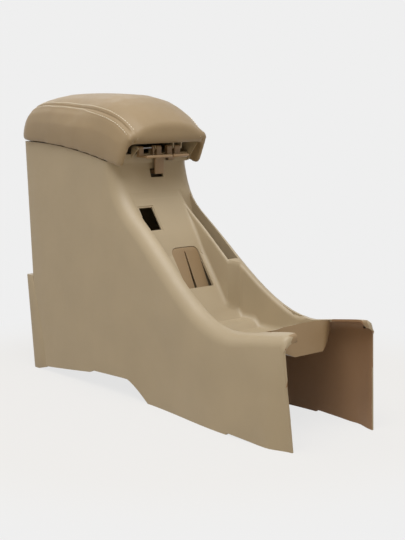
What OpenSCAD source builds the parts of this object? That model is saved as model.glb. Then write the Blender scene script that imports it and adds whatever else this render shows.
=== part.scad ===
// Car centre console with a padded armrest lid.
// X points to the front of the car, Y to its left, Z up, in millimetres.
// Inside the modules x runs from the top of the rear wall; seat() moves it to the part's origin.

/* [Console body] */
// Length from the top of the rear wall to the front edge
body_len = 604; // [580:1:640]
// Height of the rear wall's top edge
box_h = 361; // [340:1:380]
// Length of the storage box, up to its front wall
box_len = 236; // [226:1:246]
// Drop of the lid line from the rear to the front of the box
lid_drop = 24; // [15:1:30]
// Wall thickness of the moulded shell
wall = 2.9; // [2.4:0.1:3.6]
// Half width at the rear wall
rear_w = 69.8; // [68:0.2:74]
// Half width under the front of the lid
lid_end_w = 73.5; // [72:0.5:76]
// Half width across the front arms
front_w = 86; // [82:1:92]
// Half width at the foot of the front edge
toe_w = 69.8; // [64:0.2:76]
// Distance from the rear wall to the lowest point of the shoulders
dip_x = 503; // [490:1:515]
// Height of the shoulders at their lowest point
dip_z = 134; // [128:1:142]
// Height of the shoulders at the front edge
nose_z = 149; // [144:1:156]
// Radius along the shoulders of the slope
shoulder_r = 20.5; // [14:0.5:24]
// Radius of the rear corners
corner_r = 7; // [4:1:10]

/* [Channel between the shoulders] */
// Distance of the bend between the two flats of the sloping panel
bend_x = 294; // [288:1:300]
// Height of that bend
bend_z = 233.6; // [228:0.2:240]
// Slope of the upper flat
upper_angle = 53.8; // [50:0.2:58]
// Slope of the lower flat
lower_angle = 63; // [60:1:66]
// Floor of the channel
well_z = 108.5; // [100:0.5:114]
// Height of the ledge at the foot of the panel
ledge_h = 9.8; // [6:0.2:14]
// Where the ledge ends
ledge_x = 396; // [385:1:410]
// Width left for each shoulder beside the channel
shoulder_w = 23.2; // [21:0.2:26]
// Where the cross wall closes the channel, on the centre line
cross_x = 565; // [550:1:575]
// How far the cross wall bows back at the shoulders
cross_bow = 30; // [15:1:40]

/* [Map pocket] */
// Near and far side of the pocket
pocket_y = [41, 60]; // [38:1:64]
// Front end of the pocket
pocket_end = 358; // [340:1:370]
// Depth of the pocket
pocket_depth = 72; // [50:1:80]

/* [Openings] */
// Width and length of the switch opening
switch_size = [24, 38]; // [18:1:40]
// Distance from the rear wall to the middle of the switch opening
switch_x = 275; // [270:1:279]
// Sideways place of the switch opening
switch_y = -34; // [-36:1:-28]
// Width and length of the brake lever slot
slot_size = [50, 106]; // [40:1:110]
// Sideways place of the brake lever slot
slot_y = 5; // [0:1:8]
// Gap between the slot and its cover
slot_gap = 0.6; // [0.4:0.1:1]
// Width and height of the catch slot
catch_size = [23, 13]; // [12:1:25]

/* [Storage bin] */
// Half width of the bin
bin_w = 54; // [46:1:55]
// Height of the bin's floor
bin_z = 175; // [150:1:220]
// Height of the bin's rim
bin_rim_z = 326; // [320:1:328]
// Wall thickness of the bin
bin_wall = 2.5; // [2:0.1:3]
// Distance between the two floor bolts
bolt_gap = 110; // [90:1:130]
// Radius of the floor bolt holes
bolt_r = 3.5; // [3:0.25:4.5]

/* [Lid] */
// Gap between the console and the lid
lid_gap = 0.9; // [0.6:0.1:1.5]
// Half width of the pad at its lower edge
pad_w = 77; // [75:0.5:80]
// Height of the pad's crown
pad_top = 434; // [420:1:445]
// Front of the pad's brow
pad_front = 279; // [272:1:284]
// Height of the tray's rim above the lid line
tray_rim = 14; // [12:1:16]
// Depth of the tray's bowl below the lid line
tray_depth = 20; // [10:1:24]
// Height of the lid base's underside above the lid line, at the rear
base_rise = 17; // [16:1:20]
// Radius of the hinge pin
pin_r = 1.6; // [1.5:0.1:1.8]
// Radius of the hinge knuckles
knuckle_r = 3.2; // [3:0.1:3.4]

/* [Latches] */
// Height of the lever pivots
pivot_z = 359; // [358:0.5:360]
// Distance from the rear wall to the lever pivots
pivot_x = 252; // [250:0.5:254]
// Sides of the wide lever, which frees the lid and tray from the console
wide_y = [-38, 9]; // [-45:1:12]
// Sides of the narrow lever, which frees the lid from the tray
narrow_y = [12, 40]; // [12:1:45]
// Radius of the lever pins
lever_pin_r = 1.2; // [1:0.1:1.4]

/* [Hidden] */
run = 0.05;
seat_gap = 0.3;
rear_step = 5;
origin_x = (body_len - rear_step) / 2;
pin_x = 0;
pin_z = box_h + 5;

beige = [0.66, 0.60, 0.49];
leather = [0.70, 0.63, 0.52];
steel = [0.62, 0.63, 0.65];
rubber = [0.12, 0.12, 0.12];

function clamp(t) = min(max(t, 0), 1);
function ease(t) = let (c = clamp(t)) c * c * (3 - 2 * c);
function mix(a, b, t) = a + (b - a) * t;
function soft_min(a, b, k) = (a + b - sqrt((a - b) * (a - b) + k * k)) / 2;
function soft_max(a, b, k) = -soft_min(-a, -b, k);

// The line where the console ends and the lid begins
function lid_line(x) = box_h - lid_drop * pow(clamp(x / box_len) , 2.2)
    - max(0, x - box_len) * 0.22;

// Height of the shoulders: a steep front wall that runs out into a long slope
function slope_fall(u) = 0.3 * exp(-u / 0.05) + 0.35 * (1 + cos(180 * pow(u, 0.86)));
function shoulder_z(x) = x < dip_x
    ? mix(dip_z, lid_line(box_len), slope_fall(clamp((x - box_len) / (dip_x - box_len))))
    : mix(dip_z, nose_z, clamp((x - dip_x) / (body_len - dip_x)))
        - 10 * pow(clamp((x - body_len + 14) / 14), 2);
function steepness(x) = (shoulder_z(x + 0.5) - shoulder_z(x - 0.5));

// Half width of the body at the shoulders, at the foot, and in between
function top_w(x) = rear_w + (lid_end_w - rear_w) * clamp(x / box_len)
    + (front_w - lid_end_w) * ease((x - box_len) / (dip_x - box_len))
    - 2 * ease((x - body_len + 26) / 26);
function foot_w(x) = rear_w + (front_w - rear_w) * ease((x - 300) / 200)
    - (front_w - toe_w) * ease((x - 540) / (body_len - 540));
function body_w(x, z) = mix(foot_w(x), top_w(x),
    clamp(z / (x < box_len ? box_h : shoulder_z(x))));

// Sloping panel, ledge and floor of the channel
function upper_flat(x) = bend_z + tan(upper_angle) * (bend_x - x);
function lower_flat(x) = bend_z + tan(lower_angle) * (bend_x - x);
function ledge(x) = well_z + ledge_h * (1 - ease((x - ledge_x) / 14));
function panel_z(x) = soft_max(soft_min(upper_flat(x), lower_flat(x), 3), ledge(x), 7);
channel_start = box_len + 14;
function channel_z(x) = max(panel_z(x), shoulder_z(x) - max(0, x - channel_start) * 0.6);
function channel_w(x) = top_w(x) - shoulder_w;
function channel_far(x) = mix(pocket_y[0] - wall, channel_w(x),
    ease((x - pocket_end - wall + 2) / 8));

// One closed solid through a list of rings with the same number of points
module loft(rings) {
    n = len(rings[0]);
    last = len(rings) - 1;
    polyhedron(
        points = [for (ring = rings) each ring],
        faces = concat(
            [[for (j = [0:n - 1]) j]],
            [[for (j = [n - 1:-1:0]) last * n + j]],
            [for (i = [0:last - 1], j = [0:n - 1])
                let (k = (j + 1) % n) each [
                    [i * n + j, (i + 1) * n + j, (i + 1) * n + k],
                    [i * n + j, (i + 1) * n + k, i * n + k]]]),
        convexity = 12);
}

// Rulings of the body: point on the top profile, its normal, foot of the ruling, corner tuck
hidden_top = box_h + 25;
function rear_rulings(d) = [for (a = [0:30:90])
    let (r = corner_r - d, x = d + r * (1 - cos(a)))
    [x, hidden_top, 0, 1, x + 24, r * (1 - sin(a))]];
box_rulings = [for (x = [40:45:180]) [x, hidden_top, 0, 1, x + 24 - x / 6, 0]];
brow_rulings = [
    [box_len, hidden_top, 0.7, 0.7, box_len - 64, 0],
    [box_len, box_h, 1, 0, box_len - 61, 0]];
function slope_ruling(x) = let (g = steepness(x), l = sqrt(1 + g * g))
    [x, shoulder_z(x), -g / l, 1 / l,
        x - 58 * (1 - ease((x - box_len) / (400 - box_len))), 0];
slope_steps = [1, 4, 8, 13, 20, 29, 40, 53, each [68:17:255], each [dip_x - box_len:13:340]];
nose_steps = [28, 18, 10, 5, 0];
function rulings(d) = concat(rear_rulings(d), box_rulings, brow_rulings,
    [for (s = slope_steps) if (box_len + s < body_len - 34) slope_ruling(box_len + s)],
    [for (s = nose_steps) slope_ruling(body_len - s)],
    d > 0 ? [let (end = slope_ruling(body_len))
        [end[0] + 20, end[1], end[2], end[3], end[4] + 20, 0]] : []);

// Outline of the body on one ruling, d inside the outer face
function crown(x) = 6 * ease((x - 520) / 40);
function body_ring(r, d) =
    let (x = r[0], z = r[1], nx = r[2], nz = r[3],
        radius = mix(shoulder_r, shoulder_r - 5, ease((x - 440) / 120)) - d,
        ex = x - nx * (d + radius), ez = z - nz * (d + radius),
        half = body_w(min(ex, body_len), ez) - d - r[5],
        base = d > 0 ? -10 : 0,
        lean = nx == 0 ? (x - r[4]) / (ez - base) : 0,
        side = [for (t = [0, 0.3, 0.65])
            let (px = mix(r[4], ex, t), pz = mix(base, ez, t))
            [px, body_w(min(px, body_len), pz) - d - r[5], pz]],
        arc = [for (a = [0:18:90]) let (in = d + radius * (1 - sin(a)))
            [x - nx * in + lean * (z - nz * in - ez), half - radius * (1 - cos(a)), z - nz * in]],
        near = concat(side, arc),
        top = [for (y = [0.5, 0, -0.5]) [x - nx * d + lean * (z - nz * d - ez),
            y * (half - radius), z - nz * d + crown(x) * (1 - y * y)]],
        far = [for (i = [len(near) - 1:-1:0]) [near[i][0], -near[i][1], near[i][2]]])
    concat(near, top, far);
module body_solid(d) {
    loft([for (r = rulings(d)) body_ring(r, d)]);
}

// Channel between the shoulders, grown by g to make its skin
channel_steps = [each [channel_start:7:pocket_end - 2], each [pocket_end:2:pocket_end + 9],
    each [pocket_end + 16:10:ledge_x - 3], each [ledge_x:4:ledge_x + 15],
    each [ledge_x + 30:17:cross_x - 12], cross_x - wall];

// Corner between the channel's floor and a wall, from the wall down to the floor
function channel_corner(rise, bevel) = [for (a = [0:22.5:90])
    let (arc = [1 - cos(a), 1 - sin(a)], flat = [a / 90, 1 - a / 90])
    [rise[0] * mix(arc[0], flat[0], bevel), rise[1] * mix(arc[1], flat[1], bevel)]];
function channel_brink(size) = [for (a = [0:30:90]) [size[0] * (1 - cos(a)), size[1] * sin(a)]];
function bowed(p) = [p[0] - cross_bow * ease((p[0] - 430) / 110)
    * pow(min(abs(p[1]), front_w - shoulder_w) / (front_w - shoulder_w), 2), p[1], p[2]];
function channel_ring(x0, g) =
    let (x = min(x0, cross_x - wall), xg = x0 + (x0 > cross_x - wall - 1 ? g : 0)
            - (x0 < channel_start + 1 ? g : 0),
        slope = panel_z(x + 0.5) - panel_z(x - 0.5),
        floor = channel_z(x) - g * sqrt(1 + slope * slope),
        top = shoulder_z(x), depth = max(1, top - floor),
        bevel = ease((x - 440) / 110),
        corner = [mix(7, 40, bevel), min(mix(9, 31, bevel), depth * 0.5)],
        brink = g > 0 ? [0.01, depth * 0.2] : [4, min(6, depth * 0.4)],
        low = channel_corner(corner, bevel), high = channel_brink(brink),
        side = concat(
            [[-brink[0], top + 40]],
            [for (i = [len(high) - 1:-1:0]) [-high[i][0], top - brink[1] + high[i][1]]],
            [for (c = low) [c[0], floor + c[1]]]),
        near = -channel_w(x) - g, far = channel_far(x) + g)
    concat(
        [for (p = side) bowed([xg, near + p[0], p[1]])],
        [for (i = [len(side) - 1:-1:0]) bowed([xg, far - side[i][0], side[i][1]])]);
module channel(g) {
    loft([for (x = channel_steps) channel_ring(x, g)]);
}

// Side profile drawn in x and z, extruded between two values of y
module across(y0, y1) {
    translate([0, y1, 0]) rotate([90, 0, 0]) linear_extrude(y1 - y0) children();
}
module rod(y0, y1, r) {
    translate([0, y1, 0]) rotate([90, 0, 0]) cylinder(h = y1 - y0, r = r, $fn = 32);
}
// Rectangle with round corners about the origin
function round_rect(w, l, r) = [for (c = [[1, 1, 0], [-1, 1, 90], [-1, -1, 180], [1, -1, 270]],
    a = [0:22.5:90]) [c[0] * (w / 2 - r) + r * cos(c[2] + a), c[1] * (l / 2 - r) + r * sin(c[2] + a)]];
// Flat of the panel at x, with its own x down the slope and z out of the panel
module on_panel(x, y, angle) {
    translate([x, y, angle == upper_angle ? upper_flat(x) : lower_flat(x)])
        rotate([0, angle, 0]) children();
}
module seat() {
    translate([-origin_x, 0, 0]) children();
}

// Map pocket behind a thin wall in the far shoulder, grown by g to make its skin
module pocket(g) {
    start = channel_start + 2;
    bottom = shoulder_z(pocket_end) - pocket_depth;
    across(pocket_y[0] - g, pocket_y[1] + g) polygon([
        [start - g, shoulder_z(start) + 60], [start - g, shoulder_z(start) - 8],
        [start + 12 - g, shoulder_z(start) - pocket_depth * 0.8],
        [start + 30 - g, shoulder_z(start + 30) - pocket_depth - g],
        [pocket_end - 8 + g, bottom - g], [pocket_end + g, bottom + 8 - g],
        [pocket_end + g, shoulder_z(start) + 60]]);
}
module above_lid_line() {
    across(-front_w - 9, front_w + 9) polygon(concat(
        [[box_len + 30, box_h + 90], [-30, box_h + 90], [-30, box_h]],
        [for (x = [0:15:box_len + 29]) [x, lid_line(x)]],
        [[box_len + 30, lid_line(box_len + 30)]]));
}
// Lower edge of the body: it rises towards the arch and lands under the front arms
function edge_z(x) = x < 170 ? 3 + 17 * pow(clamp(x / 170), 1.2) : x < 180 ? mix(20, 24, (x - 170) / 10)
    : x < 262 ? mix(24, 27, (x - 180) / 82) : x < 311 ? 27 * (1 - pow((x - 262) / 49, 1.3)) : 0;
module below_edge() {
    across(-front_w - 9, front_w + 9) polygon(concat(
        [[-20, -20], [-20, 3]], [for (x = [20:25:170]) [x, edge_z(x)]],
        [for (x = [180, 221, 262, 270, 279, 288, 297, 304, 311]) [x, edge_z(x)]],
        [[495, 0], [498, 2.5], [body_len + 20, 2.5], [body_len + 20, -20]]));
}
// Region of the rear panel, bounded by the seam down the side
seam = [[15.4, 157], [42, 61], [53, -2]];
module rear_region(g) {
    across(-front_w, front_w) polygon([[-30, seam[0][1] - g], [seam[0][0] - g, seam[0][1] - g],
        [seam[1][0] - g, seam[1][1]], [seam[2][0] - g, seam[2][1]], [-30, -2]]);
}
slot_x = bend_x + 32;
module slot_hole(gap, z0, z1) {
    on_panel(slot_x, slot_y, lower_angle) translate([0, 0, z0]) linear_extrude(z1 - z0)
        polygon(round_rect(slot_size[1] - 2 * gap, slot_size[0] - 2 * gap, 10 - gap));
}
catch_z = lid_line(box_len) - 22;
boss_at = [for (x = [20, box_len - 22], y = [-61, 61]) [x, y]];
bracket_y = [30, 40];
hinge_screw_z = [box_h - 26, box_h - 12];
function rear_inner(z) = wall + 24 * (hidden_top - shoulder_r - z) / (hidden_top - shoulder_r + 10);

// Screw boss on a tapered gusset that stands off the side wall
module boss(x, y) {
    top = bin_rim_z - bin_wall;
    hull() {
        translate([x, y, top - 20]) cylinder(h = 20, r = 4.5, $fn = 32);
        translate([x - 1.5, sign(y) * (top_w(x) - 1.5) - 0.5, top - 50]) cube([3, 1, 50]);
    }
}

module console_shell() color(beige) seat() difference() {
    union() {
        difference() {
            body_solid(0);
            difference() {
                union() {
                    body_solid(wall);
                    translate([cross_x - 45, -front_w + shoulder_w + 2, 60])
                        cube([body_len, 2 * (front_w - shoulder_w - 2), 150]);
                }
                channel(wall);
                pocket(wall);
            }
        }
        for (b = boss_at) boss(b[0], b[1]);
        for (x = [90, 150], m = [-1, 1]) hull() {
            translate([x, m * (rear_w - 2.5) - 1, 40]) cube([2, 2, 110]);
            translate([x, m * (rear_w - wall - 4) - 1, 60]) cube([2, 2, 60]);
        }
    }
    channel(0);
    pocket(0);
    above_lid_line();
    below_edge();
    rear_region(0);
    slot_hole(0, -9, 9);
    on_panel(switch_x, switch_y, upper_angle) {
        translate([-switch_size[1] / 2, -switch_size[0] / 2, -9])
            cube([switch_size[1], switch_size[0], 18]);
        translate([-switch_size[1] / 2 - 2, -switch_size[0] / 2 - 2, -0.9])
            cube([switch_size[1] + 4, switch_size[0] + 4, 9]);
        translate([-4, -switch_size[0] / 2 - 1.6, -9]) cube([8, 4, 18]);
    }
    translate([box_len - 12, -6, catch_z]) cube([20, catch_size[0], catch_size[1]]);
    for (b = boss_at) translate([b[0], b[1], bin_rim_z - bin_wall - 12])
        cylinder(h = 20, r = 1.5 + run, $fn = 24);
    for (m = [-1, 1], z = hinge_screw_z) translate([rear_inner(z) - 2.2, m * 35, z])
        rotate([0, 90, 0]) cylinder(h = 6, r = 2 + run, $fn = 24);
    frame_screw_places(-wall - 1, wall - 0.6) cylinder(h = 9, r = 1.2 + run, $fn = 20);
}

// Rear panel: a shallow cover hooked over the open lower end of the body
module rear_block(d) hull() for (z = [[d > 0 ? -4 : 0, 12], [148 - d, -rear_step]]) {
    for (m = [-1, 1]) translate([z[1] + 9, m * (rear_w - 9), z[0]])
        cylinder(h = 1, r = 9 - d, $fn = 32);
    translate([70, d - rear_w, z[0]]) cube([1 + d, 2 * (rear_w - d), 1]);
}
module rear_panel() color(beige) seat() difference() {
    rear_block(0);
    rear_block(wall);
    difference() {
        translate([-40, -100, -10]) cube([140, 200, 400]);
        rear_region(0.4);
    }
    across(-front_w, front_w) polygon([[-30, 200], [-30, 146.5], [-6, 146.5], [14, 156],
        [14, 200]]);
    across(-front_w, front_w) polygon([[30, 0], [60, 8], [60, -20], [30, -20]]);
}
module frame_screw_places(z0, h) for (sx = [-1, 1], sy = [-1, 1])
    on_panel(slot_x, slot_y, lower_angle)
        translate([sx * (slot_size[1] / 2 - 12), sy * (slot_size[0] / 2 + 3.6), z0]) children();

// Storage bin: a tub hung from four bosses, with a flange all round
bin_x = [rear_inner(bin_rim_z - bin_wall) + 0.8, box_len - 8];
bin_body_x = [rear_inner(bin_z - bin_wall) + 1, bin_x[1] - 1.5];
module storage_bin() color(beige) seat() difference() {
    body_len = bin_body_x[1] - bin_body_x[0];
    mid = (bin_body_x[0] + bin_body_x[1]) / 2;
    union() {
        translate([mid, 0, bin_z - bin_wall]) linear_extrude(bin_rim_z - bin_z)
            polygon(round_rect(body_len, 2 * bin_w, 12));
        translate([(bin_x[0] + bin_x[1]) / 2, 0, bin_rim_z - bin_wall]) linear_extrude(bin_wall)
            polygon(round_rect(bin_x[1] - bin_x[0], 2 * (rear_w - wall - seat_gap), 6));
    }
    translate([mid, 0, bin_z]) linear_extrude(bin_rim_z)
        polygon(round_rect(body_len - 2 * bin_wall, 2 * (bin_w - bin_wall), 9.5));
    for (m = [-1, 1]) translate([mid + m * bolt_gap / 2, 0, bin_z - 20])
        cylinder(h = 40, r = bolt_r, $fn = 32);
    for (b = boss_at) translate([b[0], b[1], bin_rim_z - 9]) cylinder(h = 20, r = 2.2, $fn = 24);
}
module bin_screws() color(steel) seat() for (b = boss_at) translate([b[0], b[1], bin_rim_z]) {
    translate([0, 0, -11]) cylinder(h = 11.1, r = 1.5, $fn = 24);
    cylinder(h = 2, r = 4, $fn = 24);
}
module bin_mat() color(rubber) seat() difference() {
    mid = (bin_body_x[0] + bin_body_x[1]) / 2;
    translate([mid, 0, bin_z]) linear_extrude(2)
        polygon(round_rect(bin_body_x[1] - bin_body_x[0] - 2 * bin_wall - 1,
            2 * (bin_w - bin_wall) - 1, 9));
    for (m = [-1, 1]) translate([mid + m * bolt_gap / 2, 0, bin_z - 1])
        cylinder(h = 4, r = bolt_r + 5.5, $fn = 32);
}

// Brake slot: a plate split down the middle, held from below by a frame and four screws
module slot_cover() color(beige) seat() difference() {
    slot_hole(slot_gap, -wall, -0.5);
    on_panel(slot_x, slot_y, lower_angle) translate([0, 0, -9]) linear_extrude(20)
        polygon([[-slot_size[1] / 2 + 7, -0.5], [slot_size[1] / 2 - 7, -1.8],
            [slot_size[1] / 2 - 5, 0], [slot_size[1] / 2 - 7, 1.8], [-slot_size[1] / 2 + 7, 0.5]]);
}
module slot_frame() color(rubber) seat() difference() {
    on_panel(slot_x, slot_y, lower_angle) translate([0, 0, -wall - 2.2]) linear_extrude(2)
        polygon(round_rect(slot_size[1] + 2, slot_size[0] + 14, 6));
    slot_hole(5, -9, 9);
    frame_screw_places(-wall - 5, 9) cylinder(h = 9, r = 1.4, $fn = 20);
}
module slot_frame_screws() color(steel) seat() {
    frame_screw_places(-wall - 2.3, 0) cylinder(h = 3.9, r = 1.2, $fn = 20);
    frame_screw_places(-wall - 3.8, 0) cylinder(h = 1.5, r = 2.6, $fn = 20);
}

// Hinge: two brackets screwed to the rear wall carry one long pin
module knuckle(y0, y1) {
    translate([pin_x, 0, pin_z]) rod(y0, y1, knuckle_r);
}
module pin_bore(y0, y1) {
    translate([pin_x, 0, pin_z]) rod(y0, y1, pin_r + run);
}
module hinge_bracket(m) {
    y0 = m > 0 ? bracket_y[0] : -bracket_y[1];
    y1 = m > 0 ? bracket_y[1] : -bracket_y[0];
    low = box_h - 34;
    difference() {
        union() {
            across(y0, y1) polygon([[rear_inner(low) + 0.1, low], [rear_inner(low) + 2.1, low],
                [rear_inner(box_h) + 2.1, box_h], [rear_inner(box_h) + 2.1, pin_z + 2],
                [pin_x, pin_z + 2], [pin_x, pin_z - 2.5], [rear_inner(box_h) + 0.1, pin_z - 2.5],
                [rear_inner(box_h) + 0.1, box_h]]);
            knuckle(y0, y1);
        }
        pin_bore(y0 - 1, y1 + 1);
        for (z = hinge_screw_z) translate([0, m * 35, z]) rotate([0, 90, 0])
            cylinder(h = 20, r = 2.2, $fn = 24);
    }
}
module hinge_bracket_left() color(steel) seat() hinge_bracket(-1);
module hinge_bracket_right() color(steel) seat() hinge_bracket(1);
module hinge_screws() color(steel) seat() for (m = [-1, 1], z = hinge_screw_z)
    translate([rear_inner(z), m * 35, z]) rotate([0, 90, 0]) {
        translate([0, 0, -2]) cylinder(h = 4.6, r = 2, $fn = 24);
        translate([0, 0, 2.5]) cylinder(h = 2, r = 4, $fn = 24);
    }
module hinge_pin() color(steel) seat() {
    translate([pin_x, 0, pin_z]) rod(-52, 52, pin_r);
    translate([pin_x, 0, pin_z]) rod(52, 53.5, pin_r + 1);
}

// Tray under the lid: a rim that follows the lid line, and a bowl
tray_w = rear_w - wall - 2.5;
tray_x = [12, box_len + 4.5];
tray_wall = 2.5;
bowl_x = [24, box_len - 20];
bowl_w = bin_w - bin_wall - 5;
function lid_band(x0, x1, low, high) = concat(
    [for (t = [0:0.125:1]) let (x = mix(x0, x1, t)) [x, lid_line(x) + low]],
    [for (t = [1:-0.125:0]) let (x = mix(x0, x1, t)) [x, lid_line(x) + high]]);
latch_slot_y = [22.5, 36.5];
module lid_tray() color(beige) seat() difference() {
    bowl_z = lid_line(box_len) - tray_depth;
    union() {
        difference() {
            across(-tray_w, tray_w) polygon(lid_band(tray_x[0], tray_x[1], lid_gap, tray_rim));
            across(-tray_w + tray_wall, tray_w - tray_wall) polygon(lid_band(
                tray_x[0] + tray_wall, tray_x[1] - tray_wall, lid_gap + tray_wall, tray_rim + 30));
        }
        translate([bowl_x[0], -bowl_w, bowl_z])
            cube([bowl_x[1] - bowl_x[0], 2 * bowl_w, lid_line(bowl_x[1]) - bowl_z + 2]);
        for (m = [-1, 1]) across(m * 25 - 4.8, m * 25 + 4.8) polygon([
            [pin_x, pin_z - 2.2], [tray_x[0] + 0.5, pin_z - 2.2], [tray_x[0] + 0.5, pin_z + 3],
            [pin_x, pin_z + 3]]);
        for (m = [-1, 1]) knuckle(m * 25 - 4.8, m * 25 + 4.8);
        for (y = [wide_y[0] - 3.2, -9.2]) lever_ear(y, y + 2.4);
    }
    translate([bowl_x[0] + tray_wall, -bowl_w + tray_wall, bowl_z + tray_wall])
        cube([bowl_x[1] - bowl_x[0] - 2 * tray_wall, 2 * (bowl_w - tray_wall), 100]);
    pin_bore(-40, 40);
    translate([pivot_x, 0, pivot_z]) rod(-60, 0, lever_pin_r + run);
    translate([tray_x[1] - 6, latch_slot_y[0], lid_line(box_len) + 1.6])
        cube([10, latch_slot_y[1] - latch_slot_y[0], 6.6]);
}
module lever_ear(y0, y1) across(y0, y1) {
    polygon([[tray_x[1] - 1, lid_line(box_len) + 6], [tray_x[1] - 1, pivot_z + 1],
        [pivot_x - 2, pivot_z + 3.4], [pivot_x + 3.4, pivot_z], [pivot_x + 1, pivot_z - 3.4],
        [tray_x[1] + 2, lid_line(box_len) + 10]]);
    translate([pivot_x, pivot_z]) circle(r = 3.4, $fn = 24);
}
module tray_mat() color(rubber) seat()
    translate([bowl_x[0] + tray_wall + 1, -bowl_w + tray_wall + 1,
        lid_line(box_len) - tray_depth + tray_wall])
        cube([bowl_x[1] - bowl_x[0] - 2 * tray_wall - 2, 2 * (bowl_w - tray_wall) - 2, 1.5]);

// Finger levers: a paddle below the pivot, arms up to a barrel, and a hooked strap
paddle_z = pivot_z - 13;
module lever(ys, slit_y, barrel) {
    difference() {
        union() {
            across(ys[0], ys[1]) {
                polygon([[pivot_x - 3, paddle_z], [pad_front - 8, paddle_z],
                    [pad_front - 8, paddle_z + 3], [pivot_x - 3, paddle_z + 3]]);
                translate([pad_front - 8, paddle_z + 1.3]) circle(r = 2.2, $fn = 24);
            }
            for (b = barrel) {
                translate([pivot_x, 0, pivot_z]) rod(b[0], b[1], 3);
                across(b[0], b[1]) polygon([[pivot_x - 3, paddle_z + 1],
                    [pivot_x + 3, paddle_z + 1], [pivot_x + 3, pivot_z], [pivot_x - 3, pivot_z]]);
            }
        }
        translate([pivot_x, 0, pivot_z]) rod(-60, 60, lever_pin_r + run);
        translate([pivot_x - 9, slit_y - 2, paddle_z - 9]) cube([20, 4, 30]);
    }
}
strap_x = tray_x[1] + 2.2;
module strap(y0, y1, bottom) across(y0, y1) polygon([[strap_x, bottom], [strap_x + 2.8, bottom],
    [strap_x + 2.8, paddle_z], [pivot_x, paddle_z], [pivot_x, paddle_z + 3],
    [strap_x, paddle_z + 3]]);
module bin_latch_lever() color(beige) seat() {
    hook_z = catch_z + 5;
    lever(wide_y, -8, [[wide_y[0] + 0.2, -30], [-13, -10.4], [-5.6, 3]]);
    strap(-1, 9, hook_z);
    strap_low(9, 15, hook_z);
    across(1, 14) polygon([[strap_x + 1, hook_z], [strap_x + 1, hook_z + 2.4],
        [box_len - 1.5, hook_z + 2.4], [box_len - 1.5, hook_z + 5.4], [box_len - 4, hook_z + 5.4],
        [box_len - 4, hook_z]]);
}
module strap_low(y0, y1, bottom) across(y0, y1) polygon([[strap_x, bottom],
    [strap_x + 2.8, bottom], [strap_x + 2.8, paddle_z - 1], [strap_x, paddle_z - 1]]);
module bin_latch_pin() color(steel) seat()
    translate([pivot_x, 0, pivot_z]) rod(wide_y[0] - 4, -5, lever_pin_r);
module tray_latch_lever() color(beige) seat() {
    lever(narrow_y, 25.2, [[14, 22.8], [27.6, 38.4]]);
    strap(latch_slot_y[0] + 1.5, latch_slot_y[1] - 1.5, lid_line(box_len) + 2.5);
    across(latch_slot_y[0] + 2.5, latch_slot_y[1] - 2.5) polygon([
        [strap_x + 1, lid_line(box_len) + 5], [strap_x + 1, lid_line(box_len) + 7],
        [tray_x[1] - tray_wall - 1, lid_line(box_len) + 7],
        [tray_x[1] - tray_wall - 1, lid_line(box_len) + 5]]);
}
module tray_latch_pin() color(steel) seat()
    translate([pivot_x, 0, pivot_z]) rod(23, 42, lever_pin_r);

// Lid base: a ribbed plate under the pad, with side walls outside the tray
base_x = [13, 266];
function base_under(x) = lid_line(0) + base_rise - 12 * x / 262;
side_in = rear_w - wall - 1.6;
module lid_base() color(beige) seat() difference() {
    union() {
        across(-side_in - 2, side_in + 2) polygon([[5, base_under(5)], [base_x[1], base_under(base_x[1])],
            [base_x[1], base_under(base_x[1]) + 3], [5, base_under(5) + 3]]);
        for (m = [-1, 1]) across(m > 0 ? side_in : -side_in - 2, m > 0 ? side_in + 2 : -side_in)
            polygon(concat([for (t = [0:0.125:1]) let (x = mix(8, box_len + 4, t))
                [x, lid_line(x) + lid_gap + 0.6]],
                [[base_x[1] - 3, base_under(base_x[1]) + 1], [8, base_under(8) + 1]]));
        for (m = [-1, 1]) across(m * 46 - 4.8, m * 46 + 4.8) polygon([
            [pin_x - 2, pin_z + 1], [pin_x + 2, pin_z - 2], [8.5, pin_z + 4],
            [10, base_under(8) + 1], [5, base_under(5) + 1]]);
        for (m = [-1, 1]) knuckle(m * 46 - 4.8, m * 46 + 4.8);
        for (y = [24, 38.9]) across(y, y + 2.4) {
            polygon([[pivot_x - 4, base_under(pivot_x) + 1], [pivot_x + 4, base_under(pivot_x) + 1],
                [pivot_x + 3, pivot_z], [pivot_x - 3, pivot_z]]);
            translate([pivot_x, pivot_z]) circle(r = 3, $fn = 24);
        }
    }
    pin_bore(-60, 60);
    translate([pivot_x, 0, pivot_z]) rod(10, 60, lever_pin_r + run);
}

// Padded armrest, open below to take the lid base
pad_back = -1.6;
function pad_mid(x) = x < 60 ? mix(pad_top - 18, pad_top, pow(clamp((x - pad_back) / 63), 0.6))
    : x < 190 ? pad_top : mix(pad_top, pad_top - 40, pow((x - 190) / (pad_front - 190), 1.9));
function pad_ring(x) =
    let (end = ease((x - pad_back) / 18), nose = ease((x - 235) / 40),
        half = mix(pad_w - 7, pad_w - 1, end) - 5 * pow(clamp((x - 245) / 34), 2),
        top = x < 15 ? mix(lid_line(0) + 30, pad_mid(15), sqrt(clamp((x - pad_back) / 18))) : pad_mid(x),
        low = x < 6 ? pin_z - 3 : x < 258 ? lid_line(x) + lid_gap
            : mix(lid_line(258) + lid_gap, 372, clamp((x - 258) / (pad_front - 260))),
        seam_z = max(low + 2, top - 14), rise = seam_z - low,
        side = [[half, low], [half + 1, low + rise * 0.25], [half, low + rise * 0.55],
            [half - 4, low + rise * 0.82], [half - 13, seam_z],
            [half - 26, mix(seam_z, top, 0.55)], [half - 48, mix(seam_z, top, 0.9)]])
    concat([for (p = side) [x, p[0], p[1]]], [[x, 0, top]],
        [for (i = [len(side) - 1:-1:0]) [x, -side[i][0], side[i][1]]]);
pad_steps = [pad_back, 0.5, 5, 11, 20, 40, 75, 115, 155, 190, 215, 235, 250, 258, 265, 271, 275,
    pad_front - 1.5, pad_front];
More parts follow.
